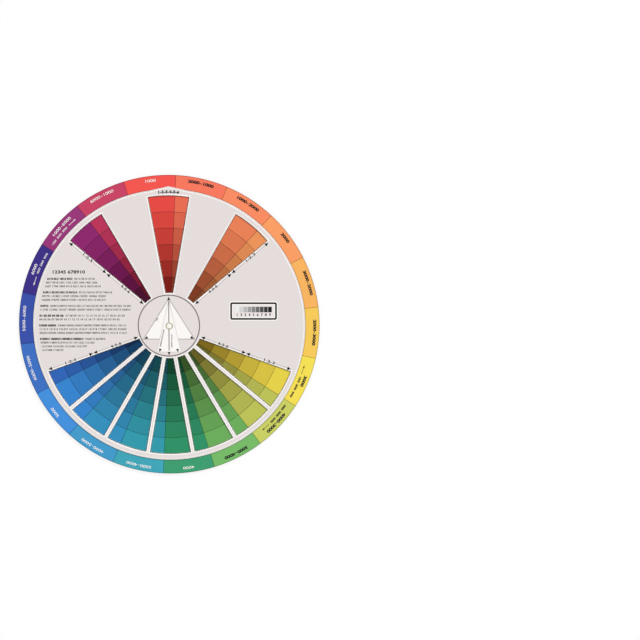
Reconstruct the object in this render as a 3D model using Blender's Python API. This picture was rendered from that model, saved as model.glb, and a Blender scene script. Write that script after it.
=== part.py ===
"""A color mixing wheel: a round card between two windowed dials, on one hollow eyelet.

The wheel lies flat with its front up. +Z is the pivot axis, +Y is the top of the front, and the origin is on
the pivot axis at the level of the table. Angles run clockwise from +Y, as on a clock seen from above.
"""

import math

import bmesh
import bpy
from mathutils import Matrix

# The cards
WHEEL_RADIUS = 0.1175
BASE_THICKNESS = 0.0008
DIAL_THICKNESS = 0.0005
RING_WIDTH = 0.0111
LAYER_GAP = 0.0001
RUNNING_CLEARANCE = 0.00015

# The windows, one hue step wide from the middle of one spoke to the middle of the next
HUES = 18
HUE_STEP = 360 / HUES
WINDOW_RIM = 0.0051
WINDOW_INNER_RADIUS = 0.0260
SPOKE_WIDTH = 0.0037
FRONT_WINDOWS = (0, 40, 120, 140, 160, 180, 200, 220, 240, 320)
BACK_WINDOWS = (0, 60, 120, 180, 240, 300)

# The pointed tip at the top of each dial
TIP_REACH = 0.0023
TIP_HALF_ANGLE = 8

# The eyelet
BORE_RADIUS = 0.0019
EYELET_WALL = 0.0003
FLANGE_WIDTH = 0.00065
FLANGE_HEIGHT = 0.0005
FLANGE_ROUNDING = 0.0002

# Fineness of the round shapes
RIM_STEPS = 180
HOLE_STEPS = 48
WINDOW_OUTER_STEPS = 8
WINDOW_INNER_STEPS = 3
EYELET_STEPS = 36
ROUNDING_STEPS = 3
SMOOTH_BELOW_ANGLE = 40

# What follows from the sizes above
DIAL_RADIUS = WHEEL_RADIUS - RING_WIDTH
WINDOW_OUTER_RADIUS = DIAL_RADIUS - WINDOW_RIM
BARREL_RADIUS = BORE_RADIUS + EYELET_WALL
HOLE_RADIUS = BARREL_RADIUS + RUNNING_CLEARANCE
FLANGE_RADIUS = HOLE_RADIUS + FLANGE_WIDTH
BACK_DIAL_BOTTOM = FLANGE_HEIGHT + LAYER_GAP
BASE_BOTTOM = BACK_DIAL_BOTTOM + DIAL_THICKNESS + LAYER_GAP
FRONT_DIAL_BOTTOM = BASE_BOTTOM + BASE_THICKNESS + LAYER_GAP
UPPER_FLANGE_BOTTOM = FRONT_DIAL_BOTTOM + DIAL_THICKNESS + LAYER_GAP
EYELET_TOP = UPPER_FLANGE_BOTTOM + FLANGE_HEIGHT


def clear_scene():
    for item in list(bpy.data.objects):
        bpy.data.objects.remove(item, do_unlink=True)


def make_material(name, color, roughness, metallic):
    material = bpy.data.materials.new(name)
    material.use_nodes = True
    shader = material.node_tree.nodes["Principled BSDF"]
    shader.inputs["Base Color"].default_value = (*color, 1)
    shader.inputs["Roughness"].default_value = roughness
    shader.inputs["Metallic"].default_value = metallic
    return material


def at_angle(radius, degrees):
    """The point at this radius and clockwise angle from +Y."""
    angle = math.radians(degrees)
    return radius * math.sin(angle), radius * math.cos(angle)


def arc(radius, start, end, steps):
    """Points along a circle about the pivot, from the start angle to the end angle."""
    return [at_angle(radius, start + (end - start) * i / steps) for i in range(steps + 1)]


def circle(radius, steps):
    return arc(radius, 0, 360, steps)[:-1]


def tipped_rim():
    """The dial's rim: a circle that rises in two straight runs to the pointed tip at the top."""
    angles = [i * 360 / RIM_STEPS for i in range(RIM_STEPS)]
    round_angles = [angle for angle in angles if TIP_HALF_ANGLE <= angle <= 360 - TIP_HALF_ANGLE]
    return [at_angle(DIAL_RADIUS + TIP_REACH, 0)] + [at_angle(DIAL_RADIUS, angle) for angle in round_angles]


def window(middle):
    """One window: two arcs about the pivot, joined by sides that leave spokes of an even width."""
    half_spoke = SPOKE_WIDTH / 2
    outer_half = HUE_STEP / 2 - math.degrees(math.asin(half_spoke / WINDOW_OUTER_RADIUS))
    inner_half = HUE_STEP / 2 - math.degrees(math.asin(half_spoke / WINDOW_INNER_RADIUS))
    outer = arc(WINDOW_OUTER_RADIUS, middle - outer_half, middle + outer_half, WINDOW_OUTER_STEPS)
    inner = arc(WINDOW_INNER_RADIUS, middle + inner_half, middle - inner_half, WINDOW_INNER_STEPS)
    return outer + inner


def finish_object(name, mesh_data, material):
    """A named object from a bmesh, shaded smooth where its faces nearly line up."""
    bmesh.ops.recalc_face_normals(mesh_data, faces=mesh_data.faces[:])
    mesh = bpy.data.meshes.new(name)
    mesh_data.to_mesh(mesh)
    mesh_data.free()
    mesh.materials.append(material)
    mesh.shade_smooth()
    mesh.set_sharp_from_angle(angle=math.radians(SMOOTH_BELOW_ANGLE))
    item = bpy.data.objects.new(name, mesh)
    bpy.context.scene.collection.objects.link(item)
    return item


def cut_card(name, rim, holes, bottom, thickness, material):
    """A flat card with this rim and these holes, lifted to its level by its object."""
    card = bmesh.new()
    for outline in [rim] + holes:
        corners = [card.verts.new((x, y, 0)) for x, y in outline]
        for corner, following in zip(corners, corners[1:] + corners[:1]):
            card.edges.new((corner, following))
    bmesh.ops.triangle_fill(card, use_beauty=True, edges=card.edges[:])
    raised = bmesh.ops.extrude_face_region(card, geom=card.faces[:])
    top = [part for part in raised["geom"] if isinstance(part, bmesh.types.BMVert)]
    bmesh.ops.translate(card, vec=(0, 0, thickness), verts=top)
    item = finish_object(name, card, material)
    item.location.z = bottom
    return item


def make_base_disc():
    material = make_material("printed_base_card", (0.78, 0.30, 0.10), 0.45, 0)
    rim = circle(WHEEL_RADIUS, RIM_STEPS)
    hole = circle(HOLE_RADIUS, HOLE_STEPS)
    return cut_card("base_disc", rim, [hole], BASE_BOTTOM, BASE_THICKNESS, material)


def make_dial(name, windows, bottom):
    """A dial turns on the eyelet, so its object's origin is on the pivot axis."""
    material = make_material(name + "_card", (0.78, 0.73, 0.71), 0.5, 0)
    holes = [circle(HOLE_RADIUS, HOLE_STEPS)] + [window(middle) for middle in windows]
    return cut_card(name, tipped_rim(), holes, bottom, DIAL_THICKNESS, material)


def rounding(center_radius, center_height, start, end):
    """A quarter turn of the eyelet's profile, as (radius, height) points."""
    points = []
    for i in range(ROUNDING_STEPS + 1):
        angle = math.radians(start + (end - start) * i / ROUNDING_STEPS)
        radius = center_radius + FLANGE_ROUNDING * math.cos(angle)
        points.append((radius, center_height + FLANGE_ROUNDING * math.sin(angle)))
    return points


def eyelet_profile():
    """The closed section of the eyelet, from the bore up, out over the top flange and down the barrel."""
    mouth_radius = BORE_RADIUS + FLANGE_ROUNDING
    edge_radius = FLANGE_RADIUS - FLANGE_ROUNDING
    top = EYELET_TOP - FLANGE_ROUNDING
    upper_mouth = rounding(mouth_radius, top, 180, 90)
    upper_edge = rounding(edge_radius, top, 90, 0)
    upper_seat = [(FLANGE_RADIUS, UPPER_FLANGE_BOTTOM), (BARREL_RADIUS, UPPER_FLANGE_BOTTOM)]
    lower_seat = [(BARREL_RADIUS, FLANGE_HEIGHT), (FLANGE_RADIUS, FLANGE_HEIGHT)]
    lower_edge = rounding(edge_radius, FLANGE_ROUNDING, 0, -90)
    lower_mouth = rounding(mouth_radius, FLANGE_ROUNDING, -90, -180)
    return upper_mouth + upper_edge + upper_seat + lower_seat + lower_edge + lower_mouth


def make_eyelet():
    """The profile turned a full circle about the pivot axis."""
    eyelet = bmesh.new()
    corners = [eyelet.verts.new((radius, 0, height)) for radius, height in eyelet_profile()]
    for corner, following in zip(corners, corners[1:] + corners[:1]):
        eyelet.edges.new((corner, following))
    turn = Matrix.Rotation(math.tau / EYELET_STEPS, 3, "Z")
    first = eyelet.edges[:]
    current = first
    for step in range(EYELET_STEPS - 1):
        copied = bmesh.ops.extrude_edge_only(eyelet, edges=current)["geom"]
        points = [part for part in copied if isinstance(part, bmesh.types.BMVert)]
        current = [part for part in copied if isinstance(part, bmesh.types.BMEdge)]
        bmesh.ops.rotate(eyelet, cent=(0, 0, 0), matrix=turn, verts=points)
    bmesh.ops.bridge_loops(eyelet, edges=first + current)
    material = make_material("eyelet_metal", (0.72, 0.60, 0.38), 0.25, 1)
    return finish_object("eyelet", eyelet, material)


def make_wheel():
    clear_scene()
    make_base_disc()
    make_dial("front_dial", FRONT_WINDOWS, FRONT_DIAL_BOTTOM)
    make_dial("back_dial", BACK_WINDOWS, BACK_DIAL_BOTTOM)
    make_eyelet()


make_wheel()
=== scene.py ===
# %% [markdown]
# # A color mixing wheel in Blender
#
# The real object is a round card, printed on both sides, between two thinner cards with windows cut in
# them. One hollow eyelet holds the three together, and each windowed card, or dial, turns on it. The
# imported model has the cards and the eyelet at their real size. This lesson gives them paper, ink and
# metal: every color field, line and digit is a thin layer of its own that rides on its card, so a dial's
# print turns with the dial. Sizes are in metres, and angles run clockwise from the top, as on a clock.

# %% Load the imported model
import itertools
import math

import bpy
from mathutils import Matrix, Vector


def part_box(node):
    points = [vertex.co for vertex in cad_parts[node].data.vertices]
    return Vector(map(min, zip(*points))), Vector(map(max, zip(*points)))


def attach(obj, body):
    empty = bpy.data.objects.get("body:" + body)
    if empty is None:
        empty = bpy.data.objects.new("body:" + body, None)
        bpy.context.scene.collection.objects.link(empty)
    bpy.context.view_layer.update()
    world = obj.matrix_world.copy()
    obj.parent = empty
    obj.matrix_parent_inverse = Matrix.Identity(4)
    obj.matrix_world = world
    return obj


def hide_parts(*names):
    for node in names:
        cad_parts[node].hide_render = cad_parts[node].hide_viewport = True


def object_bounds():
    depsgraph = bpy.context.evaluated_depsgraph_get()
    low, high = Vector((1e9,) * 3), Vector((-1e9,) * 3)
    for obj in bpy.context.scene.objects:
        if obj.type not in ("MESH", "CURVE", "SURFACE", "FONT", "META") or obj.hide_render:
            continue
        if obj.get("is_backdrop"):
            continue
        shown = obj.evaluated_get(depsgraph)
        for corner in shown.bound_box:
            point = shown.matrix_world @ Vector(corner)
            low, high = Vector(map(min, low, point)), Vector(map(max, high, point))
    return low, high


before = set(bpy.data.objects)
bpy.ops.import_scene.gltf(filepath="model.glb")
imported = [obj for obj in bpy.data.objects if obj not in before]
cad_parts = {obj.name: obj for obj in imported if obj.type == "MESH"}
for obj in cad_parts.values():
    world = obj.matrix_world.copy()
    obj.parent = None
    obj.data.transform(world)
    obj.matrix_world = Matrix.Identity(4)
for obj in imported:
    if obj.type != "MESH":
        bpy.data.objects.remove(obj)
cad_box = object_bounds()
bpy.context.scene.view_settings.view_transform = "Standard"

# %% [markdown]
# ## Small helpers
#
# An operator in Blender works on what is selected, and a freshly loaded model is selected all over. So
# the first helper selects one piece alone, and the next ones open it in edit mode, whole or in part. The
# second cell adds a primitive, applies a modifier, and applies a piece's place, turn and scale to its
# mesh. A short unit lets the sizes below read as on a drawing.

# %% Select and open
MM = 0.001


def only(piece):
    """Selects this piece alone and makes it active."""
    bpy.ops.object.select_all(action="DESELECT")
    piece.select_set(True)
    bpy.context.view_layer.objects.active = piece


def open_mesh(piece, mode="VERT"):
    """Edit mode on this piece, with everything selected."""
    only(piece)
    bpy.ops.object.mode_set(mode="EDIT")
    bpy.ops.mesh.select_mode(type=mode)
    bpy.ops.mesh.select_all(action="SELECT")


def close_mesh():
    bpy.ops.object.mode_set(mode="OBJECT")


def open_part(piece, mode, wanted):
    """Edit mode with only those vertices or faces selected for which this is true."""
    open_mesh(piece, mode)
    bpy.ops.mesh.select_all(action="DESELECT")
    close_mesh()
    for part in piece.data.vertices if mode == "VERT" else piece.data.polygons:
        part.select = wanted(part)
    bpy.ops.object.mode_set(mode="EDIT")


# %% Add, modify and settle
def name_new(name):
    """Names the object that an operator has just made, and its mesh."""
    piece = bpy.context.object
    piece.name = name
    piece.data.name = name
    return piece


def add_piece(kind, **settings):
    """A new primitive of this kind, added with nothing else selected."""
    bpy.ops.object.select_all(action="DESELECT")
    getattr(bpy.ops.mesh, f"primitive_{kind}_add")(**settings)
    return bpy.context.object


def modify(piece, kind, **settings):
    """Gives a piece a modifier with these settings and applies it."""
    only(piece)
    modifier = piece.modifiers.new(kind, kind)
    for name, value in settings.items():
        setattr(modifier, name, value)
    bpy.ops.object.modifier_apply(modifier=modifier.name)


def settle(piece):
    """Applies a piece's place, turn and scale to its mesh."""
    only(piece)
    bpy.ops.object.transform_apply(location=True, rotation=True, scale=True)
    return piece


def at_angle(radius, degrees):
    """The point at this radius and clockwise angle from the top."""
    angle = math.radians(degrees)
    return Vector((radius * math.sin(angle), radius * math.cos(angle), 0))


# %% [markdown]
# ## The camera
#
# The photograph looks almost straight down on the wheel, from a little right of it and above it, so its
# circles are very slightly oval. A longer lens would lose their slight keystone and a shorter one would
# overdo it: 90 mm at 1.25 m fits both rims of the real wheel at once.

# %% Place the camera
CAMERA_PLACE = (99.5 * MM, 126.3 * MM, 1250 * MM)
CAMERA_ANGLES = (-0.0974, -0.0146, 0)
LENS = 90

bpy.ops.object.camera_add(location=CAMERA_PLACE)
camera = bpy.context.object
camera.rotation_mode = "YXZ"
camera.rotation_euler = CAMERA_ANGLES
camera.data.lens = LENS
camera.data.clip_start = 0.01
bpy.context.scene.camera = camera
print("camera", camera.location[:], "lens", camera.data.lens)

# %% [markdown]
# ## Nodes by name
#
# Every finish below is a small tree of nodes. By hand, a node takes three steps: add it, set its choices
# and fill its sockets with values or links. These helpers do it in one line, in a material, in the world
# and in a node group alike.

# %% Node helpers
def fill(tree, node, sockets):
    """Gives each of these sockets its value, or a link from another node's output."""
    for name, value in sockets.items():
        if isinstance(value, bpy.types.NodeSocket):
            tree.links.new(value, node.inputs[name])
        else:
            node.inputs[name].default_value = value


def add_node(tree, kind, sockets=None, **choices):
    """A new shader node with its choices made and its sockets filled."""
    node = tree.nodes.new("ShaderNode" + kind)
    for name, value in choices.items():
        setattr(node, name, value)
    fill(tree, node, sockets or {})
    return node


def calculate(tree, operation, first, second=0):
    """A Math node on two values."""
    return add_node(tree, "Math", {0: first, 1: second}, operation=operation).outputs[0]


def spread(tree, value, low, high, new_low, new_high):
    """A Map Range node: low to high becomes new_low to new_high, held at both ends."""
    ends = {"From Min": low, "From Max": high, "To Min": new_low, "To Max": new_high}
    return add_node(tree, "MapRange", {"Value": value, **ends}).outputs[0]


# %% Patterns, groups and materials
def object_place(tree):
    """Where a point lies on its object, so that a pattern stays put when the object moves."""
    return add_node(tree, "TexCoord").outputs["Object"]


def noise(tree, place, **sockets):
    """The value of a Noise Texture at this place."""
    return add_node(tree, "TexNoise", {"Vector": place, **sockets}).outputs["Fac"]


def waves(tree, distance, pitch):
    """Waves between -1 and 1 along a distance, one to each pitch."""
    return calculate(tree, "SINE", calculate(tree, "MULTIPLY", distance, math.tau / pitch))


def new_group(name, inputs, outputs):
    """An empty shader group with named inputs, each with its default, and named outputs."""
    print("group", name)
    group = bpy.data.node_groups.new(name, "ShaderNodeTree")
    for label, default in inputs.items():
        socket = group.interface.new_socket(label, in_out="INPUT", socket_type="NodeSocketFloat")
        socket.default_value = default
    for label in outputs:
        group.interface.new_socket(label, in_out="OUTPUT", socket_type="NodeSocketFloat")
    return group, group.nodes.new("NodeGroupInput").outputs, group.nodes.new("NodeGroupOutput")


def new_finish(name, sockets):
    """A new material, its node tree and its Principled shader, with these sockets filled."""
    print("material", name)
    finish = bpy.data.materials.new(name)
    finish.use_nodes = True
    shader = finish.node_tree.nodes["Principled BSDF"]
    fill(finish.node_tree, shader, sockets)
    return finish, finish.node_tree, shader


# %% [markdown]
# ## Studio light
#
# The photograph is lit evenly, with a white surround and no hard shadow. An even white world alone would
# hide all relief, so part of the light comes from one wide, soft sun. The two add up to one, so that a
# printed color renders about as it is written. The sun stands low, which keeps its gleam on the film away
# from a camera that looks straight down. The camera and shiny surfaces see a brighter surround, which
# dims towards the ceiling so that gloss doesn't wash the dark inks out.

# %% World and sun
AMBIENT_SHARE = 0.68
CEILING_SHARE = 0.08
DIM_FROM, DIM_TO = 0.35, 0.85
SUN_TILT, SUN_SIDE = math.radians(54), math.radians(145)
SUN_SOFTNESS = math.radians(20)


def seen(tree):
    """One for a ray from the camera, or one off or through a shiny surface, and zero for the rest."""
    ray = add_node(tree, "LightPath").outputs
    direct = calculate(tree, "MAXIMUM", ray["Is Camera Ray"], ray["Is Glossy Ray"])
    return calculate(tree, "MAXIMUM", direct, ray["Is Transmission Ray"])


world = bpy.data.worlds.new("studio")
bpy.context.scene.world = world
world.use_nodes = True
tree = world.node_tree
heading = add_node(tree, "SeparateXYZ", {0: add_node(tree, "TexCoord").outputs["Generated"]})
surround = spread(tree, heading.outputs["Z"], DIM_FROM, DIM_TO, 1, CEILING_SHARE)
above_ambient = calculate(tree, "SUBTRACT", surround, AMBIENT_SHARE)
extra = calculate(tree, "MULTIPLY", seen(tree), above_ambient)
level = calculate(tree, "ADD", extra, AMBIENT_SHARE)
fill(tree, tree.nodes["Background"], {"Strength": level, "Color": (1, 1, 1, 1)})

bpy.ops.object.light_add(type="SUN", rotation=(SUN_TILT, 0, SUN_SIDE))
sun = bpy.context.object.data
sun.angle = SUN_SOFTNESS
sun.energy = (1 - AMBIENT_SHARE) * math.pi / math.cos(SUN_TILT)
print("sun strength", round(sun.energy, 3))

# %% [markdown]
# ## The floor
#
# A pale sheet lies under the wheel. It gives back part of the light like paper, which keeps the wheel's
# shadow, and the camera sees the rest of its brightness as a plain glow, so that unshaded floor is white,
# as in the photograph.

# %% Lay the floor
FLOOR_RADIUS, FLOOR_SIDES = 9.0, 96
FLOOR_DROP = 0.01 * MM
FLOOR_PAPER_SHARE = 0.2
FLOOR_PAPER = {
    "Base Color": (FLOOR_PAPER_SHARE,) * 3 + (1,),
    "Roughness": 0.9,
    "Specular IOR Level": 0,
    "Emission Color": (1, 1, 1, 1),
}

below = (0, 0, -FLOOR_DROP)
add_piece("circle", vertices=FLOOR_SIDES, radius=FLOOR_RADIUS, fill_type="NGON", location=below)
floor = name_new("floor")
floor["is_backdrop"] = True
finish, tree, shader = new_finish("studio_floor", FLOOR_PAPER)
glow = calculate(tree, "MULTIPLY", seen(tree), 1 - FLOOR_PAPER_SHARE)
fill(tree, shader, {"Emission Strength": glow})
floor.data.materials.append(finish)
print("floor", floor.dimensions.x, "m across")

# %% [markdown]
# ## Paper, film and ink as shared effects
#
# Three effects turn up in most finishes here, so each is a node group. Of their outputs, Shade multiplies
# a color, Roughness sets the gloss and Height feeds a Bump node. Card has fibres: a soft mottle and a
# fine tooth. The film that seals a printed card is nearly smooth, with faint ripples, two sets of hair
# scratches and a few dull specks, which show only in its gloss. Ink lies unevenly, in soft blotches and a
# fine grain of a percent or two. All three read Object coordinates, so the pattern stays on the card when
# a dial turns.

# %% Card fibre
card_fibre, start, end = new_group("card_fibre", {"Mottle": 0.03}, ("Shade", "Height"))
place = object_place(card_fibre)
cloud = noise(card_fibre, place, Scale=420, Detail=5, Roughness=0.65)
dark = calculate(card_fibre, "MULTIPLY", cloud, start["Mottle"])
tooth = noise(card_fibre, place, Scale=5200, Detail=3, Distortion=1.5)
fill(card_fibre, end, {"Shade": calculate(card_fibre, "SUBTRACT", 1, dark), "Height": tooth})

# %% Sealing film
SCRATCH_SETS = ((0.5, 900), (-1.1, 1300))
SCRATCH_STRETCH = 14
SCRATCH_DEPTH = -0.02

defaults = {"Base": 0.3, "Scratches": 0.12}
film, start, end = new_group("sealing_film", defaults, ("Roughness", "Height"))
place = object_place(film)
marks = 0
for lean, fineness in SCRATCH_SETS:
    run = {"Vector": place, "Rotation": (0, 0, lean), "Scale": (SCRATCH_STRETCH, fineness, 1)}
    across = add_node(film, "Mapping", run).outputs["Vector"]
    hairs = noise(film, across, Scale=1, Detail=2, Distortion=0.3)
    marks = calculate(film, "MAXIMUM", marks, spread(film, hairs, 0.66, 0.74, 0, 1))
specks = add_node(film, "TexVoronoi", {"Vector": place, "Scale": 260}).outputs["Distance"]
dust = spread(film, specks, 0.04, 0.1, 1, 0)
dull = calculate(film, "MULTIPLY", calculate(film, "MAXIMUM", marks, dust), start["Scratches"])
ripple = noise(film, place, Scale=55, Detail=1)
relief = calculate(film, "ADD", ripple, calculate(film, "MULTIPLY", marks, SCRATCH_DEPTH))
fill(film, end, {"Roughness": calculate(film, "ADD", start["Base"], dull), "Height": relief})

# %% Ink lay
ink_lay, start, end = new_group("ink_lay", {"Blotches": 0.05, "Grain": 0.05}, ("Shade",))
place = object_place(ink_lay)
shade = 1
for scale, label in ((130, "Blotches"), (2600, "Grain")):
    swing = calculate(ink_lay, "SUBTRACT", noise(ink_lay, place, Scale=scale, Detail=3), 0.5)
    shade = calculate(ink_lay, "ADD", shade, calculate(ink_lay, "MULTIPLY", swing, start[label]))
fill(ink_lay, end, {"Shade": shade})

# %% [markdown]
# ## Colors as a printer writes them
#
# A printed color is easiest to choose as a share of full red, green and blue on a screen. Blender's
# sockets want light, not screen values, so one function turns the first into the second.

# %% Screen values to light
def as_light(color):
    """Linear light for a color written as screen values from 0 to 255."""
    shares = [part / 255 for part in color]
    return [share / 12.92 if share < 0.04045 else ((share + 0.055) / 1.055) ** 2.4 for share in shares]


print("screen 128 is", round(as_light((128,) * 3)[0], 3), "of full light")

# %% [markdown]
# ## The finishes
#
# Each finish is one material. The inks and the bare face of a card share a builder: a color, shaded by
# one of the effects, under the sealing film. The color is the same all over or, for the hue fields, read
# from the mesh. The cut edge of a card has no film, so it is duller, shows its fibres, and takes thin
# darker bands where the plies meet.

# %% Print finish
FILM_GLOSS = 0.34
SPECULAR = 0.3
UNDER_FILM = {"Roughness": FILM_GLOSS, "Specular IOR Level": SPECULAR}
RIPPLE_SHARE, RIPPLE_HEIGHT = 0.12, 0.2 * MM


def tint_by(tree, shader, color, shade):
    """Base Color as a color, fixed or from another node, times a shade."""
    mix = add_node(tree, "Mix", {0: 1, 6: color, 7: shade}, data_type="RGBA", blend_type="MULTIPLY")
    fill(tree, shader, {"Base Color": mix.outputs[2]})


def bump(tree, shader, height, strength, distance):
    """A Bump node between a height and the shader's normal."""
    relief = add_node(tree, "Bump", {"Height": height, "Strength": strength, "Distance": distance})
    fill(tree, shader, {"Normal": relief.outputs["Normal"]})


def under_film(name, color, group, values):
    """A material of a color, or else of the mesh's ink attribute, shaded by a group, under the film."""
    finish, tree, shader = new_finish(name, UNDER_FILM)
    ink = (*as_light(color), 1) if color else add_node(tree, "Attribute", attribute_name="ink").outputs[0]
    tint_by(tree, shader, ink, add_node(tree, "Group", values, node_tree=group).outputs["Shade"])
    seal = add_node(tree, "Group", {"Base": FILM_GLOSS}, node_tree=film).outputs
    fill(tree, shader, {"Roughness": seal["Roughness"]})
    bump(tree, shader, seal["Height"], RIPPLE_SHARE, RIPPLE_HEIGHT)
    return finish


def print_finish(name, color=None, blotches=0.05, grain=0.05):
    """Ink, which lies more or less evenly, under the film."""
    return under_film(name, color, ink_lay, {"Blotches": blotches, "Grain": grain})


field_ink = print_finish("field_ink", blotches=0.06)
tint_ink = print_finish("tint_ink", (231, 223, 221), 0.015, 0.02)
line_ink = print_finish("line_ink", (22, 18, 20))
rule_ink = print_finish("rule_ink", (122, 113, 112))
soft_ink = print_finish("soft_ink", (176, 168, 167))
faint_ink = print_finish("faint_ink", (224, 219, 217))
plate_ink = print_finish("plate_ink", (238, 232, 230), 0.015, 0.02)
white_ink = print_finish("white_ink", (253, 250, 247), 0.01, 0.02)

# %% Card finishes
CARD_WHITE = (253, 250, 247)
CORE_WHITE = (233, 226, 214)
CUT_EDGE = {"Roughness": 0.85, "Specular IOR Level": SPECULAR}
PLY_PITCH, PLY_SHADE_SHARE = 0.16 * MM, 0.86
TOOTH_SHARE, TOOTH_HEIGHT = 0.5, 0.06 * MM

card_face = under_film("card_face", CARD_WHITE, card_fibre, {"Mottle": 0.02})

card_edge, tree, shader = new_finish("card_edge", CUT_EDGE)
fibre = add_node(tree, "Group", {"Mottle": 0.22}, node_tree=card_fibre).outputs
height = add_node(tree, "SeparateXYZ", {0: object_place(tree)}).outputs["Z"]
plies = spread(tree, waves(tree, height, PLY_PITCH), 0.5, 1, 1, PLY_SHADE_SHARE)
tint_by(tree, shader, (*as_light(CORE_WHITE), 1), calculate(tree, "MULTIPLY", plies, fibre["Shade"]))
bump(tree, shader, fibre["Height"], TOOTH_SHARE, TOOTH_HEIGHT)

# %% [markdown]
# ## The three cards
#
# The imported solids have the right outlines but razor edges. A die-cut card has a minute rounding where
# the knife pressed it, which catches the light at a low view. So each card is made again from a copy of
# its solid: loose triangles are merged, flat faces dissolved to one and edges bevelled, and the faces
# that look sideways get the edge finish.

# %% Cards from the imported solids
EDGE_ROUNDING = 0.05 * MM
MERGE_WITHIN = 0.001 * MM
SIDEWAYS_LIMIT = 0.6
FLAT_WITHIN, SHARP_ABOVE, SMOOTH_BELOW = math.radians(0.5), math.radians(60), math.radians(35)


def copy_solid(node):
    """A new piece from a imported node's mesh, merged, with its flat faces dissolved."""
    piece = bpy.data.objects.new(node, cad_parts[node].data.copy())
    bpy.context.scene.collection.objects.link(piece)
    piece.data.materials.clear()
    open_mesh(piece)
    bpy.ops.mesh.remove_doubles(threshold=MERGE_WITHIN)
    bpy.ops.mesh.dissolve_limited(angle_limit=FLAT_WITHIN)
    close_mesh()
    return piece


def finish_card(node, name, body):
    """One card with rounded edges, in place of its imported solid."""
    piece = copy_solid(node)
    name_new(name)
    where = {"limit_method": "ANGLE", "angle_limit": SHARP_ABOVE, "use_clamp_overlap": False}
    modify(piece, "BEVEL", width=EDGE_ROUNDING, segments=2, **where)
    piece.data.materials.append(card_face)
    piece.data.materials.append(card_edge)
    for face in piece.data.polygons:
        face.material_index = int(abs(face.normal.z) < SIDEWAYS_LIMIT)
    bpy.ops.object.shade_smooth_by_angle(angle=SMOOTH_BELOW)
    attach(piece, body)
    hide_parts(node)
    print(name, len(piece.data.polygons), "faces")


finish_card("base_disc", "wheel_card", "base")
finish_card("front_dial", "front_dial_card", "front_dial")
finish_card("back_dial", "back_dial_card", "back_dial")

# %% [markdown]
# ## Flat print, made once and laid on either side
#
# Print could be an image or a pattern in the material. Here it is geometry: flat shapes with a real ink
# thickness, which stay crisp at any size. Each layer lies a hair above the one under it, as ink does.
# Every shape is drawn face up at height zero, as seen from its own side of the wheel. Laying it on the
# back turns it over about the wheel's upright axis, so digits read the right way round there too.

# %% Flat print
INK_THICKNESS = 0.03 * MM
LINE_THICKNESS = 0.012 * MM


def join(name, pieces):
    """Several pieces as one, each keeping its own shape."""
    only(pieces[0])
    for piece in pieces:
        piece.select_set(True)
    bpy.ops.object.join()
    return name_new(name)


def ink_faces(piece, light_of):
    """Writes the light of each face's color into the mesh's ink attribute."""
    ink = piece.data.color_attributes.new("ink", "FLOAT_COLOR", "CORNER")
    for face in piece.data.polygons:
        color = (*light_of(face.center), 1)
        for corner in face.loop_indices:
            ink.data[corner].color = color


def above_lines(lines):
    """The lift that clears the first layer of ink and this many layers of lines."""
    return INK_THICKNESS + lines * LINE_THICKNESS


# %% Printed sides
class Side:
    """One printed side of a card: its name, node, body and slot, its level and which way it faces."""

    def __init__(self, name, node, body, slot):
        low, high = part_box(node)
        self.name, self.node, self.body, self.slot = name, node, body, slot
        self.level, self.way, self.turned = (high.z, 1, 0) if name == "front" else (low.z, -1, math.pi)

    def lay(self, name, pieces, finish, lift=INK_THICKNESS, thickness=LINE_THICKNESS, light_of=None):
        """Joins flat pieces into one layer of print, which by default lies on the side's first ink."""
        piece = join(f"{self.name}_{name}", pieces)
        modify(piece, "SOLIDIFY", thickness=thickness, offset=1)
        if light_of:
            ink_faces(piece, light_of)
        piece.data.materials.append(finish)
        piece.location.z = self.level + self.way * lift
        piece.rotation_euler.y = self.turned
        settle(piece)
        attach(piece, self.body)
        print("laid", piece.name, "on", self.body, "-", len(piece.data.polygons), "faces")


wheel_front = Side("front", "base_disc", "base", "printed_base_card")
wheel_back = Side("back", "base_disc", "base", "printed_base_card")
dial_front = Side("front", "front_dial", "front_dial", "dial_card")
dial_back = Side("back", "back_dial", "back_dial", "dial_card")
levels = [round(side.level / MM, 2) for side in (dial_back, wheel_back, wheel_front, dial_front)]
print("print levels in mm:", levels)

# %% [markdown]
# ## The hues
#
# The wheel has eighteen hues, one every twenty degrees, from red through yellow, green and blue back to
# red. Thirteen are inks, first chosen and then corrected where the rendered fields departed from the
# real ones. The others are even mixes of their neighbours, which is just what such a wheel teaches.
# Towards the hub each hue goes through six bands. On the front it takes more and more black, whose warm
# cast takes blue and green away sooner than red. The film's gleam would turn the deep bands pale, so as
# much light is taken off their ink. On the back each hue takes more and more white.

# %% Palette
HUES = 18
HUE_STEP = 360 / HUES
BANDS = 6
INKS = {
    0: (248, 84, 76),
    1: (251, 120, 92),
    3: (254, 160, 99),
    6: (248, 226, 82),
    7: (204, 210, 97),
    8: (119, 189, 103),
    9: (59, 160, 114),
    10: (61, 168, 187),
    12: (64, 145, 223),
    14: (54, 80, 173),
    15: (59, 45, 137),
    16: (156, 51, 122),
    17: (204, 64, 101),
}
INKS[HUES] = INKS[0]
PAPER = (250, 246, 243)
FIRST_LOSS_SHARE = 0.053
BAND_LOSS_SHARES = (0.052, 0.062, 0.065)
DEEP_LOSS_SHARE = 0.0062
GLEAM_SHARE = 0.016
FIRST_WHITE_SHARE, BAND_WHITE_SHARE = 0.04, 0.155


def pure_hue(step):
    """The hue at this step round the wheel, from the two inks on either side of it."""
    below = max(place for place in INKS if place <= step)
    above = min(place for place in INKS if place > step)
    share = (step - below) / (above - below)
    return [a + (b - a) * share for a, b in zip(INKS[below], INKS[above])]


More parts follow.
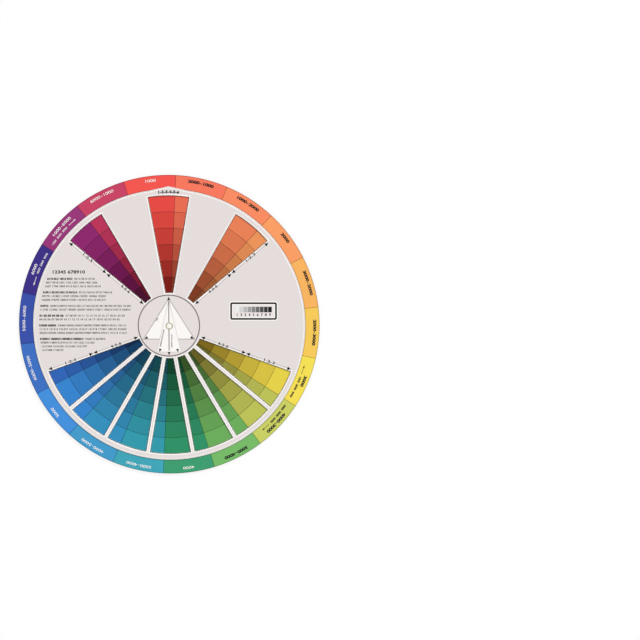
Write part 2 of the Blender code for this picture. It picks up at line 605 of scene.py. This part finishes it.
def shaded(hue, band):
    """The light of a hue with black: the first band is nearly pure, the sixth is deepest."""
    depths = [1 - FIRST_LOSS_SHARE - loss * band - DEEP_LOSS_SHARE * band**2 for loss in BAND_LOSS_SHARES]
    light = as_light([part * depth for part, depth in zip(hue, depths)])
    return [max(0, share - GLEAM_SHARE) for share in light]


def tinted(hue, band):
    """The light of a hue with white: the first band is nearly pure, the sixth is palest."""
    share = FIRST_WHITE_SHARE + BAND_WHITE_SHARE * band
    return as_light([part + (white - part) * share for part, white in zip(hue, PAPER)])


print("hues:", [[round(part) for part in pure_hue(step)] for step in range(HUES)])

# %% [markdown]
# ## The color fields
#
# The fields are one flat sheet of rings and sectors. A circle of ten steps to a hue is extruded and
# scaled outwards once for each band, and then to the rim, so the fields share their edges and leave no
# gaps. Two of the rings are hair thin and hold painted shade, a deeper shade of each hue: beside the dial
# it is the dial's painted shadow on the ring of pure colors, and at the rim it is painted shade along the
# card's edge. The sheet is then turned a little, because the printed hues start a few degrees past the
# pointed tip. Each face finds its own hue and band from where its middle lies.

# %% Field sheet
BAND_PITCH = 12.7 * MM
HUB_EDGE = 2 * BAND_PITCH
WHEEL_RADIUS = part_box("base_disc")[1].x
HUE_OFFSET = 2.8
STEPS_A_HUE = 10
# Painted shade: a ring of deeper hue where the dial's shadow falls, and another along the card's edge at
# the rim.
DIAL_SHADOW_RADIUS, DIAL_SHADOW_WIDTH = 106.5 * MM, 0.4 * MM
RIM_PAINTED_SHADE_WIDTH = 0.5 * MM
PAINTED_SHADE_SHARE = 0.75
band_radii = [HUB_EDGE + BAND_PITCH * band for band in range(BANDS + 1)]
dial_shadow_radii = [DIAL_SHADOW_RADIUS, DIAL_SHADOW_RADIUS + DIAL_SHADOW_WIDTH]
rim_shade_radii = [WHEEL_RADIUS - RIM_PAINTED_SHADE_WIDTH, WHEEL_RADIUS]


def extrude_loop(growth, rise=0.0):
    """Extrudes the selected loop, scaled out from the pivot and raised."""
    bpy.ops.mesh.extrude_edges_indiv()
    bpy.ops.transform.resize(value=(growth, growth, 1), center_override=(0, 0, 0))
    bpy.ops.transform.translate(value=(0, 0, rise))


def rings(radii):
    """Flat rings, face up: a circle extruded and scaled out from radius to radius, then flipped."""
    piece = add_piece("circle", vertices=HUES * STEPS_A_HUE, radius=radii[0])
    open_mesh(piece)
    for inner, outer in zip(radii, radii[1:]):
        extrude_loop(outer / inner)
    bpy.ops.mesh.select_all(action="SELECT")
    bpy.ops.mesh.flip_normals()
    close_mesh()
    return piece


def turn(piece, degrees):
    """Turns a piece clockwise about the pivot."""
    piece.rotation_euler.z = -math.radians(degrees)
    return settle(piece)


def field_light(point, mixed):
    """The light of the field that holds this point, where the bands are mixed in this way."""
    angle = math.degrees(math.atan2(point.x, point.y)) - HUE_OFFSET + HUE_STEP
    hue = pure_hue(int(angle % 360 / HUE_STEP))
    radius = point.xy.length
    # Painted shade: the dial's shadow beside the dial, and the darker card edge at the rim.
    if any(inner < radius < outer for inner, outer in (dial_shadow_radii, rim_shade_radii)):
        return as_light([part * PAINTED_SHADE_SHARE for part in hue])
    band = BANDS - 1 - int((radius - HUB_EDGE) / BAND_PITCH)
    return as_light(hue) if band < 0 else mixed(hue, band)


for side, mixed in ((wheel_front, shaded), (wheel_back, tinted)):
    sheet = turn(rings(band_radii + dial_shadow_radii + rim_shade_radii), HUE_OFFSET)
    side.lay("color_fields", [sheet], field_ink, 0, INK_THICKNESS, lambda point: field_light(point, mixed))


# %% [markdown]
# ## The lines between the fields
#
# Thin dark rules part the fields: seven circles and eighteen spokes. Drawing them as bars and narrow
# rings over the sheet keeps them the same width everywhere, which a pattern by angle would not.

# %% Field rules
RULE_WIDTH = 0.25 * MM


def bar(start, end, width):
    """A straight flat bar from one point to another."""
    run = end - start
    heading = (0, 0, math.atan2(run.y, run.x))
    piece = add_piece("plane", size=1, location=(start + end) / 2, rotation=heading)
    piece.scale = (run.length, width, 1)
    return settle(piece)


def turned_copies(piece, angles):
    """Copies of a piece, one at each clockwise angle. The first piece is the first copy."""
    copies = [piece]
    for angle in angles[1:]:
        only(piece)
        bpy.ops.object.duplicate(linked=False)
        copies.append(turn(bpy.context.object, angle - angles[0]))
    return copies


def circle_line(radius, width):
    return rings([radius - width / 2, radius + width / 2])


for side in (wheel_front, wheel_back):
    circles = [turn(circle_line(radius, RULE_WIDTH), HUE_OFFSET) for radius in band_radii]
    spoke = bar(at_angle(HUB_EDGE, HUE_OFFSET), at_angle(WHEEL_RADIUS, HUE_OFFSET), RULE_WIDTH)
    spokes = turned_copies(spoke, [HUE_OFFSET + HUE_STEP * step for step in range(HUES)])
    side.lay("field_rules", circles + spokes, line_ink)


# %% [markdown]
# ## Digits
#
# The marks on this wheel are plain numbers: they name hues and bands the way a dial names its positions.
# A text object makes good outlines, but only at a size near one, where Blender's fill doesn't lose small
# curves. So each line of digits is set at size one, made a mesh, and only then scaled down to
# millimetres. Ten zeros, measured first, tell how tall and wide a digit is at that size.

# %% Set a line of digits
def large_digits(body, bold=0.0, align="CENTER", fineness=4):
    """Flat digits at text size one, centred on the origin or starting from it."""
    bpy.ops.object.select_all(action="DESELECT")
    bpy.ops.object.text_add()
    text = bpy.context.object.data
    text.body = body
    text.align_x = align
    text.align_y = "CENTER"
    text.offset = bold
    text.resolution_u = fineness
    bpy.ops.object.convert(target="MESH")
    return settle(name_new("digits"))


SAMPLE = "0" * 10
sample = large_digits(SAMPLE)
DIGIT_SHARE = sample.dimensions.y
ADVANCE_SHARE = sample.dimensions.x / len(SAMPLE) / DIGIT_SHARE
bpy.data.objects.remove(sample)


def set_digits(body, height, bold, stretch=1.0, **setting):
    """Flat digits of this height and stretched width."""
    piece = large_digits(body, bold, **setting)
    scale = height / DIGIT_SHARE
    piece.scale = (scale * stretch, scale, 1)
    return settle(piece)


print("digit height", round(DIGIT_SHARE, 3), "and advance per height", round(ADVANCE_SHARE, 3))

# %% Place a line of digits
def place_flat(piece, middle, angle=0.0):
    """Turns a flat piece counter-clockwise by this many degrees and moves it to its place."""
    piece.rotation_euler.z = math.radians(angle)
    piece.location = middle
    return settle(piece)


def digit_line(body, height, bold, length, place, angle=0.0, **setting):
    """A line of digits of this height, stretched to this length and put in its place."""
    piece = set_digits(body, height, bold, **setting)
    piece.scale.x = length / piece.dimensions.x
    return place_flat(settle(piece), place, angle)


def arc_digits(body, radius, middle_angle, length, height, bold):
    """Digits along a circle about the pivot, tops outwards, set one sign at a time over this length."""
    pitch = length / len(body)
    stretch = pitch / (height * ADVANCE_SHARE)
    signs = []
    for place, sign in enumerate(body):
        if sign != " ":
            angle = middle_angle + math.degrees((place - (len(body) - 1) / 2) * pitch / radius)
            piece = set_digits(sign, height, bold, stretch)
            signs.append(place_flat(piece, at_angle(radius, angle), -angle))
    return signs


# %% [markdown]
# ## Numbers on the outer ring
#
# Every third hue is a main one and has a number in thousands. The two hues between a pair of main ones
# have both their numbers, the nearer one last, so each label says what the hue is mixed from. The digits
# are white on the deep hues and dark on the light ones. On four of the hues a second, smaller row names
# the three main hues on that half of the wheel, and an arrow points the way round.

# %% Ring labels
RING_LABEL_RADIUS = 113.6 * MM
RING_DIGIT_HEIGHT = 2.2 * MM
RING_DIGIT_PITCH = 2.25 * MM
DARK_BOLD, WHITE_BOLD = 0.055, 0.01
FIRST_DARK_LABEL, LAST_DARK_LABEL = 1, 8
MAIN_EVERY = 3


def hue_label(step):
    """The number of a main hue, or the numbers of the two main hues that this one lies between."""
    main, rest = divmod(step, MAIN_EVERY)
    below = 1000 * (main + 1)
    above = 1000 * ((main + 1) % (HUES // MAIN_EVERY) + 1)
    if rest == 0:
        return str(below)
    return f"{above}-{below}" if rest == 1 else f"{below}-{above}"


print("labels:", [hue_label(step) for step in range(HUES)])

# %% Arrowheads and small arrows
ARROW_LENGTH = 3.0 * MM
ARROW_WIDTH = 2.7 * MM
SMALL_ARROW_LENGTH, SMALL_ARROW_WIDTH = 2.2 * MM, 1.3 * MM
SHAFT_WIDTH = 0.36 * MM
SHAFT_STOP = 0.8


def triangle(tip, heading=0, length=ARROW_LENGTH, width=ARROW_WIDTH):
    """A triangle with its tip here: a circle of three corners, moved under its tip and scaled."""
    piece = add_piece("circle", vertices=3, radius=1, fill_type="NGON")
    tall, wide = 1.5, math.sqrt(3)
    open_mesh(piece)
    bpy.ops.transform.translate(value=(0, -1, 0))
    bpy.ops.transform.resize(value=(width / wide, length / tall, 1), center_override=(0, 0, 0))
    close_mesh()
    return place_flat(piece, tip, heading)


def ring_arrow(radius, start_angle, end_angle):
    """A small arrow along the ring, from one clockwise angle to another."""
    way = 1 if end_angle > start_angle else -1
    tip = at_angle(radius, end_angle)
    head = triangle(tip, -(end_angle + way * 90), SMALL_ARROW_LENGTH, SMALL_ARROW_WIDTH)
    neck = at_angle(radius, end_angle - way * SHAFT_STOP)
    return [bar(at_angle(radius, start_angle), neck, SHAFT_WIDTH), head]


# %% Ring print
SECOND_ROW_RADIUS = 110.2 * MM
SECOND_ROW_HEIGHT = 1.5 * MM
SECOND_ROW_LENGTH = 18.2 * MM
FIRST_ROW_RAISED = 113.8 * MM
ROW_BACK, ARROW_START, ARROW_END = 3.4, 2.4, 6.3
WARM_ROW, COOL_ROW = "1000 2000 3000", "4000 5000 6000"
ROUND_MARKS = {6: (WARM_ROW, -1), 7: (COOL_ROW, 1), 15: (COOL_ROW, -1), 16: (WARM_ROW, 1)}


def ring_labels(dark):
    """The flat labels of all the hues whose digits are dark, or of all whose digits are white."""
    pieces = []
    bold = DARK_BOLD if dark else WHITE_BOLD
    for step in range(HUES):
        if (FIRST_DARK_LABEL <= step <= LAST_DARK_LABEL) != dark:
            continue
        middle = HUE_OFFSET + HUE_STEP * (step - 0.5)
        radius = FIRST_ROW_RAISED if step in ROUND_MARKS else RING_LABEL_RADIUS
        label = hue_label(step)
        pieces += arc_digits(label, radius, middle, len(label) * RING_DIGIT_PITCH, RING_DIGIT_HEIGHT, bold)
        if step in ROUND_MARKS:
            row, way = ROUND_MARKS[step]
            place = middle - ROW_BACK * way
            pieces += arc_digits(row, SECOND_ROW_RADIUS, place, SECOND_ROW_LENGTH, SECOND_ROW_HEIGHT, bold)
            pieces += ring_arrow(SECOND_ROW_RADIUS, middle + ARROW_START * way, middle + ARROW_END * way)
    return pieces


for side in (wheel_front, wheel_back):
    side.lay("ring_digits_dark", ring_labels(True), line_ink)
    side.lay("ring_digits_white", ring_labels(False), white_ink)


# %% [markdown]
# ## The dials' tint
#
# A dial is printed in a pale grey, with a narrow white border left round every window and along the rim.
# A line follows the cut, dark and fine round each window, where it is painted shade of the cut edge, and
# faint and broader along the rim. All of them keep an even distance from the cut, so they are made from
# the card's own outer face, copied and inset.
# The inside of the inset is the tint, and strips at its edge are the lines.

# %% The outer face of a card
def delete_faces(piece, unwanted):
    """Deletes the faces for which this is true."""
    open_part(piece, "FACE", unwanted)
    bpy.ops.mesh.delete(type="FACE")
    close_mesh()


def outer_face(side):
    """The outer face of a side's card as a flat sheet at height zero, as seen from that side."""
    piece = copy_solid(side.node)
    delete_faces(piece, lambda face: face.normal.z * side.way < SIDEWAYS_LIMIT)
    piece.location.z = -side.way * piece.data.vertices[0].co.z
    piece.rotation_euler.y = side.turned
    return settle(piece)


def inset_edges(piece, width, keep_inside):
    """Cuts a strip of even width along every edge of a flat sheet, and keeps the inside or the strip."""
    open_mesh(piece, "FACE")
    bpy.ops.mesh.inset(thickness=width, use_boundary=True, use_even_offset=True)
    if keep_inside:
        bpy.ops.mesh.select_all(action="INVERT")
    bpy.ops.mesh.delete(type="FACE")
    close_mesh()
    return piece


# %% Tint and cut lines
BORDER_WIDTH = 1.4 * MM
WINDOW_SHADE_LINE_WIDTH = 0.36 * MM
RIM_LINE_WIDTH = 0.8 * MM
WINDOWS_END = 103 * MM


def cut_line(side, width, unwanted):
    """One part of the line along a dial's cut edges, clear of their rounding."""
    sheet = inset_edges(outer_face(side), EDGE_ROUNDING, True)
    inset_edges(sheet, width, False)
    delete_faces(sheet, unwanted)
    return [sheet]


def on_rim(face):
    return face.center.xy.length > WINDOWS_END


for side in (dial_front, dial_back):
    tint = inset_edges(outer_face(side), BORDER_WIDTH, True)
    side.lay("dial_tint", [tint], tint_ink, 0, INK_THICKNESS)
    # The dark line round each window is painted shade of the window's cut edge.
    side.lay("dial_window_shade_line", cut_line(side, WINDOW_SHADE_LINE_WIDTH, on_rim), line_ink, 0)
    rim_line = cut_line(side, RIM_LINE_WIDTH, lambda face: not on_rim(face))
    side.lay("dial_rim_line", rim_line, faint_ink, 0)


# %% [markdown]
# ## Arrows beside the windows
#
# Double arrows along four of the windows say which bands are meant: the outer three and the inner three.
# Each arrow's line is broken in its middle by the numbers of its bands. The heads and digits are black
# and the lines a soft grey, so they are two layers of ink.

# %% Window arrows
OUTER_ARROW = (101.1 * MM, 63.8 * MM, 82.8 * MM, "1-2-3")
INNER_ARROW = (63.4 * MM, 26.3 * MM, 44.6 * MM, "4-5-6")
ARROW_LINE_WIDTH = 0.4 * MM
BAND_DIGIT_HEIGHT = 1.9 * MM
BAND_LABEL_LENGTH = 9.0 * MM
BAND_BOLD = 0.03
LABEL_GAP = 0.9 * MM
FRONT_ARROW_ANGLES = (50, 110, 250, 310)
BACK_ARROW_ANGLES = (50, 130, 230, 310)


def arrow_marks(angle, far, near, label_radius, label):
    """The digits and the two heads of one double arrow along a radius."""
    along = 90 - angle if angle < 180 else -90 - angle
    middle = at_angle(label_radius, angle)
    digits = digit_line(label, BAND_DIGIT_HEIGHT, BAND_BOLD, BAND_LABEL_LENGTH, middle, along)
    return [digits, triangle(at_angle(far, angle), -angle), triangle(at_angle(near, angle), 180 - angle)]


def arrow_lines(angle, far, near, label_radius):
    """The arrow's line, which its label parts in two."""
    half_gap = BAND_LABEL_LENGTH / 2 + LABEL_GAP
    spans = ((near + ARROW_LENGTH, label_radius - half_gap), (label_radius + half_gap, far - ARROW_LENGTH))
    return [bar(at_angle(start, angle), at_angle(end, angle), ARROW_LINE_WIDTH) for start, end in spans]


for side, angles in ((dial_front, FRONT_ARROW_ANGLES), (dial_back, BACK_ARROW_ANGLES)):
    arrows = [(angle, *arrow) for angle in angles for arrow in (OUTER_ARROW, INNER_ARROW)]
    marks = [mark for arrow in arrows for mark in arrow_marks(*arrow)]
    lines = [line for arrow in arrows for line in arrow_lines(*arrow[:-1])]
    side.lay("window_arrows", marks, line_ink)
    side.lay("window_arrow_lines", lines, soft_ink)


# %% [markdown]
# ## The diagram at the hub
#
# Inside a thin circle, white triangles join the hues that go together: one large, one narrow. Small
# arrowheads point out at the hues, and rows of tiny numbers name the steps. The triangles are made as the
# arrowheads are, and each outline is the border of the same triangle, laid over it. The real print lies a
# hair off the eyelet, so the whole diagram is shifted by that much. The back has the circle, its upright
# line and the pointers, one for each of its windows.

# %% Hub shapes
HUB_SHIFT = (-0.45 * MM, 0, 0)
HUB_CIRCLE_RADIUS = 23.95 * MM
HUB_LINE_WIDTH = 0.8 * MM
POINTER_LENGTH, POINTER_WIDTH = 2.7 * MM, 2.2 * MM
CENTROID_SHARE = 2 / 3
UPRIGHT_WIDTH = 0.7 * MM
UPRIGHT_END = 19.6 * MM
EYELET_CLEARANCE = 3.1 * MM


def hub_pointers(places):
    """Arrowheads that point outwards, each with its middle at an angle and a radius in millimetres."""
    reach = POINTER_LENGTH * CENTROID_SHARE
    size = (POINTER_LENGTH, POINTER_WIDTH)
    return [triangle(at_angle(radius * MM + reach, angle), -angle, *size) for angle, radius in places]


def upright():
    """The line through the pivot, broken by the eyelet."""
    ends = [(at_angle(EYELET_CLEARANCE, angle), at_angle(UPRIGHT_END, angle)) for angle in (0, 180)]
    return [bar(start, end, UPRIGHT_WIDTH) for start, end in ends]


def lay_hub(side, name, pieces, finish, lines):
    """One layer of the diagram, shifted as the real print is, over this many layers of lines."""
    for piece in pieces:
        place_flat(piece, HUB_SHIFT)
    side.lay("hub_" + name, pieces, finish, above_lines(lines))


# %% Triangles
TOP_REACH = 21.7 * MM
LOWER_REACH = 23.2 * MM
LARGE_ANGLE, NARROW_ANGLE = 62, 25
OUTLINE_WIDTH = 0.6 * MM


def hub_triangle(half_angle):
    """A triangle from the top to two lower corners, each this angle off the bottom."""
    corner = at_angle(LOWER_REACH, half_angle)
    return triangle(at_angle(TOP_REACH, 0), 0, TOP_REACH + corner.y, 2 * corner.x)


def hub_outline(half_angle):
    return inset_edges(hub_triangle(half_angle), OUTLINE_WIDTH, False)


lay_hub(dial_front, "large_triangle", [hub_triangle(LARGE_ANGLE)], white_ink, 0)
lay_hub(dial_front, "outline", [hub_outline(LARGE_ANGLE)], soft_ink, 1)
lay_hub(dial_front, "narrow_triangle", [hub_triangle(NARROW_ANGLE)], white_ink, 2)
lay_hub(dial_front, "faint_outline", [hub_outline(NARROW_ANGLE)], faint_ink, 3)

# %% Circle, pointers and tiny numbers
FRONT_POINTERS = ((0, 21.0), (180, 21.6), (118, 20.2), (160.8, 20.4), (200.2, 20.4), (241.5, 20.0))
BACK_POINTERS = [(angle, 20.6) for angle in range(0, 360, 60)]
STEP_DIGIT_HEIGHT = 1.0 * MM
STEP_BOLD = 0.05
STEP_ROWS = (
    ("1713", 2.6 * MM, (-9.25 * MM, 4.7 * MM, 0), 60),
    ("24681012141618", 13.8 * MM, (-5.35 * MM, -9.9 * MM, 0), 77.8),
    ("1357911131517", 10.6 * MM, (2.2 * MM, -12.1 * MM, 0), 90),
)

for side, places in ((dial_front, FRONT_POINTERS), (dial_back, BACK_POINTERS)):
    lay_hub(side, "circle", [circle_line(HUB_CIRCLE_RADIUS, HUB_LINE_WIDTH)], rule_ink, 4)
    lay_hub(side, "upright", upright(), rule_ink, 4)
    lay_hub(side, "pointers", hub_pointers(places), line_ink, 5)

steps = []
for body, length, place, turned in STEP_ROWS:
    steps.append(digit_line(body, STEP_DIGIT_HEIGHT, STEP_BOLD, length, place, turned, fineness=2))
lay_hub(dial_front, "steps", steps, rule_ink, 4)

# %% [markdown]
# ## Rows of hue numbers
#
# Left of the hub stand six short blocks of rows, under a title. Each block lists hues that go together by
# one rule: opposite hues, a hue and the two beside its opposite, three evenly spaced, single hues, three
# in a row, and three in a row with their opposite. A hue is a number of two digits, and a group stands
# together like a word. A rule is a few steps round the wheel, so the numbers are worked out here and not
# typed in. Each row starts on one circle near the rim and is stretched a little to its measured end.

# %% Rows of numbers
ROW_START_RADIUS = 101.7 * MM
ROW_PITCH = 2.94 * MM
BLOCK_GAP = 1.78 * MM
FIRST_ROW_HEIGHT = 36.6 * MM
ROW_DIGIT_HEIGHT = 1.5 * MM
ROW_BOLD, ROW_PLAIN = 0.065, 0.02
WORD_GAP = 1.3 * MM
SPARE_SIGNS = 2
SCHEMES = (
    ((0, 9), 19.7 * MM, (-58.0, -56.0, -53.8)),
    ((0, 8, 10), 26.5 * MM, (-44.6, -49.2, -50.0)),
    ((0, 6, 12), 6.3 * MM, (-30.1, -30.8)),
    ((0,), 19.0 * MM, (-35.0, -38.9)),
    ((0, 1, 2), 13.3 * MM, (-34.0, -34.1, -33.6)),
    ((0, 1, 2, 10), 34.0 * MM, (-50.3, -58.8, -65.0, -83.5)),
)


def scheme_words(steps):
    """The groups of hue numbers that follow one rule, one after the other and round again."""
    for start in itertools.count():
        yield "".join(f"{(start + step) % HUES + 1:02d}" for step in steps)


def row_part(words, bold, left, height, length):
    """Number groups from one place on, as many as fit this length, stretched to it."""
    room = length / (ROW_DIGIT_HEIGHT * ADVANCE_SHARE)
    body = next(words)
    while len(body) < room - SPARE_SIGNS:
        body += " " + next(words)
    return digit_line(body, ROW_DIGIT_HEIGHT, bold, length, (left, height, 0), align="LEFT", fineness=2)


def number_rows():
    """All the rows, the first part of each block in bold."""
    pieces = []
    height = FIRST_ROW_HEIGHT
    for steps, bold_length, ends in SCHEMES:
        words = scheme_words(steps)
        for row, end in enumerate(ends):
            left = -math.sqrt(ROW_START_RADIUS**2 - height**2)
            if row == 0:
                pieces.append(row_part(words, ROW_BOLD, left, height, bold_length))
                left += bold_length + WORD_GAP
            pieces.append(row_part(words, ROW_PLAIN, left, height, end * MM - left))
            height -= ROW_PITCH
        height -= BLOCK_GAP
    return pieces


TITLE_PLACE = (-78.4 * MM, 41.9 * MM, 0)
TITLE_HEIGHT, TITLE_LENGTH = 2.4 * MM, 25.2 * MM
TITLE_BOLD = 0.03

title = digit_line("12345 678910", TITLE_HEIGHT, TITLE_BOLD, TITLE_LENGTH, TITLE_PLACE)
dial_front.lay("number_rows", number_rows() + [title], line_ink)

# %% [markdown]
# ## The grey scale in its frame
#
# Right of the hub a dark rounded outline with a white line on either side holds a plain grey scale, pale
# to nearly black in even steps of the eye, for judging how light a paint is. The plates are planes whose
# corners are bevelled round, and the outline is the border of one of them.

# %% Rounded plates
FRAME_MIDDLE = Vector((65.8 * MM, 11.45 * MM, 0))
FRAME_WIDTH, FRAME_HEIGHT = 36.45 * MM, 13.7 * MM
FRAME_ROUNDING, CORNER_STEPS = 1.5 * MM, 6
FRAME_LINE = 1.35 * MM
WHITE_LINE = 0.8 * MM


def round_plate(growth):
    """A flat plate, larger than the frame by this much on each side, with rounded corners."""
    piece = add_piece("plane", size=1)
    piece.scale = (FRAME_WIDTH + 2 * growth, FRAME_HEIGHT + 2 * growth, 1)
    settle(piece)
    open_mesh(piece)
    rounding = max(FRAME_ROUNDING + growth, WHITE_LINE)
    bpy.ops.mesh.bevel(offset=rounding, segments=CORNER_STEPS, affect="VERTICES")
    close_mesh()
    return place_flat(piece, FRAME_MIDDLE)


frame_ring = inset_edges(round_plate(0), FRAME_LINE, False)
dial_front.lay("scale_plate", [round_plate(WHITE_LINE)], white_ink)
dial_front.lay("scale_frame", [frame_ring], line_ink, above_lines(1))
dial_front.lay("scale_ground", [round_plate(-FRAME_LINE - WHITE_LINE)], plate_ink, above_lines(1))

# %% Grey patches and their digits
GREYS = 9
GREY_WIDTH, GREY_HEIGHT, GREY_GAP = 2.9 * MM, 4.4 * MM, 0.3 * MM
GREY_RISE, GREY_DIGIT_DROP = 1.2 * MM, 3.0 * MM
GREY_DIGIT_HEIGHT, GREY_DIGIT_BOLD = 2.0 * MM, 0.03
LIGHTEST_GREY, GREY_FALL = 240, 26
grey_pitch = GREY_WIDTH + GREY_GAP
grey_places = [FRAME_MIDDLE.x + (place - (GREYS - 1) / 2) * grey_pitch for place in range(GREYS)]


def grey_light(point):
    """The light of the grey patch that holds this point."""
    place = round((point.x - grey_places[0]) / grey_pitch)
    return as_light((LIGHTEST_GREY - GREY_FALL * place,) * 3)


patches, digits = [], []
for place, x in enumerate(grey_places):
    left = Vector((x - GREY_WIDTH / 2, FRAME_MIDDLE.y + GREY_RISE, 0))
    patches.append(bar(left, left + Vector((GREY_WIDTH, 0, 0)), GREY_HEIGHT))
    digit = set_digits(str(place + 1), GREY_DIGIT_HEIGHT, GREY_DIGIT_BOLD)
    digits.append(place_flat(digit, (x, FRAME_MIDDLE.y - GREY_DIGIT_DROP, 0)))
dial_front.lay("grey_scale", patches, field_ink, above_lines(2), light_of=grey_light)
dial_front.lay("scale_digits", digits, line_ink, above_lines(2))

# %% [markdown]
# ## The label above the top window
#
# The numbers of all six bands stand at the rim over each dial's top window, set as the ring's are.

# %% Label above the top window
TOP_LABEL_RADIUS = 104.3 * MM
TOP_LABEL_HEIGHT, TOP_LABEL_LENGTH = 2.1 * MM, 16.5 * MM
TOP_LABEL_BOLD = 0.07

size = (TOP_LABEL_LENGTH, TOP_LABEL_HEIGHT, TOP_LABEL_BOLD)
for side in (dial_front, dial_back):
    side.lay("top_label", arc_digits("1-2-3-4-5-6", TOP_LABEL_RADIUS, 0, *size), line_ink)


# %% [markdown]
# ## The eyelet
#
# The eyelet is one piece of thin brass tube, pressed over at both ends. Its metal is pale, a little
# tarnished, and has fine turning marks round the axis. Its shape is drawn as the real one is formed: a
# plain tube, whose end loops are extruded along a half roll and scaled outwards, top and bottom. A
# solidify modifier then gives the sheet its wall.

# %% Brass finish
BRASS = (236, 229, 207)
BRASS_SOCKETS = {"Metallic": 0.6, "Specular IOR Level": 0.5}
TARNISH_SHARE = 0.8
TURNING_PITCH, TURNING_SHARE, TURNING_HEIGHT = 0.09 * MM, 0.15, 0.01 * MM

eyelet_brass, tree, shader = new_finish("eyelet_brass", BRASS_SOCKETS)
place = object_place(tree)
tarnish = noise(tree, place, Scale=900, Detail=4)
tint_by(tree, shader, (*as_light(BRASS), 1), spread(tree, tarnish, 0.35, 0.7, 1, TARNISH_SHARE))
fill(tree, shader, {"Roughness": spread(tree, tarnish, 0.3, 0.7, 0.3, 0.45)})
flat = add_node(tree, "VectorMath", {0: place, 1: (1, 1, 0)}, operation="MULTIPLY").outputs[0]
radius = add_node(tree, "VectorMath", {0: flat}, operation="LENGTH").outputs["Value"]
bump(tree, shader, waves(tree, radius, TURNING_PITCH), TURNING_SHARE, TURNING_HEIGHT)

# %% Eyelet shape
EYELET_WALL = 0.3 * MM
EYELET_SIDES = 72
ROLL_STEPS = 6
BORE_RADIUS = 1.9 * MM
SMOOTH_ROLL_BELOW = math.radians(40)
eyelet_low, eyelet_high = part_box("eyelet")
ROLL = (eyelet_high.x - BORE_RADIUS) / 2


def roll_end(piece, way):
    """Extrudes one end loop of the tube along a half roll, upwards or downwards, over and outwards."""
    level = eyelet_high.z - ROLL if way > 0 else eyelet_low.z + ROLL
    open_part(piece, "VERT", lambda vertex: abs(vertex.co.z - level) < MERGE_WITHIN)
    angles = [math.pi * step / ROLL_STEPS for step in range(ROLL_STEPS + 1)]
    points = [(BORE_RADIUS + ROLL * (1 - math.cos(angle)), ROLL * math.sin(angle)) for angle in angles]
    for (radius, height), (next_radius, next_height) in zip(points, points[1:]):
        extrude_loop(next_radius / radius, way * (next_height - height))
    close_mesh()


tube = {
    "vertices": EYELET_SIDES,
    "radius": BORE_RADIUS,
    "depth": eyelet_high.z - eyelet_low.z - 2 * ROLL,
    "end_fill_type": "NOTHING",
    "location": (0, 0, (eyelet_high.z + eyelet_low.z) / 2),
}
settle(add_piece("cylinder", **tube))
eyelet = name_new("pressed_eyelet")
roll_end(eyelet, 1)
roll_end(eyelet, -1)
modify(eyelet, "SOLIDIFY", thickness=EYELET_WALL, offset=1, use_even_offset=True)
bpy.ops.object.shade_smooth_by_angle(angle=SMOOTH_ROLL_BELOW)
eyelet.data.materials.append(eyelet_brass)
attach(eyelet, "base")
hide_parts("eyelet")
print("eyelet", [round(size / MM, 2) for size in eyelet.dimensions], "mm")

# %% [markdown]
# ## The sizes, side by side
#
# Last, the box of the imported model and the box of the finished one are written side by side. The print
# may not make the wheel any bigger.

# %% Write both boxes and finish
visual_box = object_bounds()
for label, box in (("cad", cad_box), ("visual", visual_box)):
    print(label, "high corner in mm", [round(c / MM, 2) for c in box[1]])
